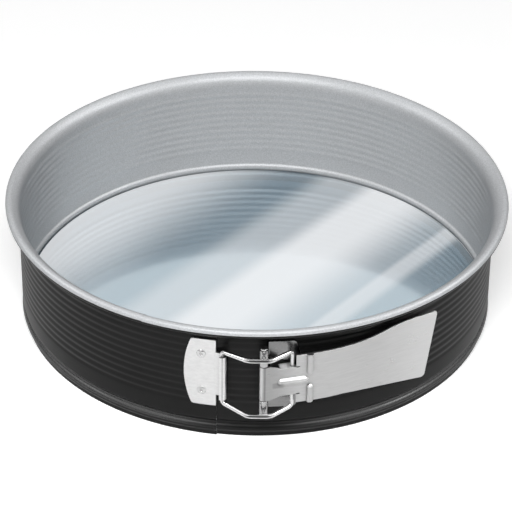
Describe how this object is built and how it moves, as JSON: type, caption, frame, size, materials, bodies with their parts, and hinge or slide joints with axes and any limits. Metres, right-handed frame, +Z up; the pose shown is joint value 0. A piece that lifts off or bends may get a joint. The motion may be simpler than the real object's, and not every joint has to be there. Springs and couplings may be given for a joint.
{
  "type": "springform pan",
  "caption": "Round springform baking pan: a ribbed split band with a rolled rim clips round a flat glass base and is closed by an over-centre lever and a wire bail.",
  "frame": {"origin": "on the pan's axis, at the height of the surface it stands on", "axes": "+Z up out of the open top; the latch faces -Y and its lever points to +X"},
  "size_m": [0.2712, 0.2776, 0.0697],
  "materials": {
    "glass": "clear polished safety glass",
    "band_coating": "satin black non-stick coat outside, silver-grey coat inside",
    "latch_steel": "satin plated pressed steel",
    "wire_steel": "bright drawn wire"
  },
  "bodies": {
    "base": {"glass_base": "glass"},
    "ring_left": {"band_left": "band_coating", "bail_bracket": "latch_steel", "bail_bracket_rivet_lower": "latch_steel", "bail_bracket_rivet_upper": "latch_steel"},
    "ring_right": {"band_right": "band_coating", "lever_bracket": "latch_steel", "lever_bracket_rivet_lower": "latch_steel", "lever_bracket_rivet_upper": "latch_steel", "fulcrum_pin": "wire_steel"},
    "lever": {"lever": "latch_steel"},
    "bail": {"bail": "wire_steel"}
  },
  "joints": [
    {"name": "lever_swing", "type": "hinge", "parent": "ring_right", "child": "lever", "pos_m": [0.00435, -0.1355, 0.04], "axis": [0, 0, -1], "range_deg": [0, 130]},
    {"name": "ring_right_spread", "type": "hinge", "parent": "base", "child": "ring_right", "pos_m": [0.019, 0.13517, 0.04], "axis": [0, 0, 1], "range_deg": [0, 1.52]},
    {"name": "ring_left_spread", "type": "hinge", "parent": "base", "child": "ring_left", "pos_m": [0.019, 0.13517, 0.04], "axis": [0, 0, -1], "range_deg": [0, 1.52]},
    {"name": "bail_swing", "type": "hinge", "parent": "ring_left", "child": "bail", "pos_m": [-0.0164, -0.13125, 0.04], "axis": [0, 0, -1], "range_deg": [0, 31.38]}
  ],
  "couplings": [
    {"joint": "ring_right_spread", "follows": "lever_swing", "ratio": 0.011691},
    {"joint": "ring_left_spread", "follows": "lever_swing", "ratio": 0.011691},
    {"joint": "bail_swing", "follows": "lever_swing", "ratio": 0.24137}
  ]
}
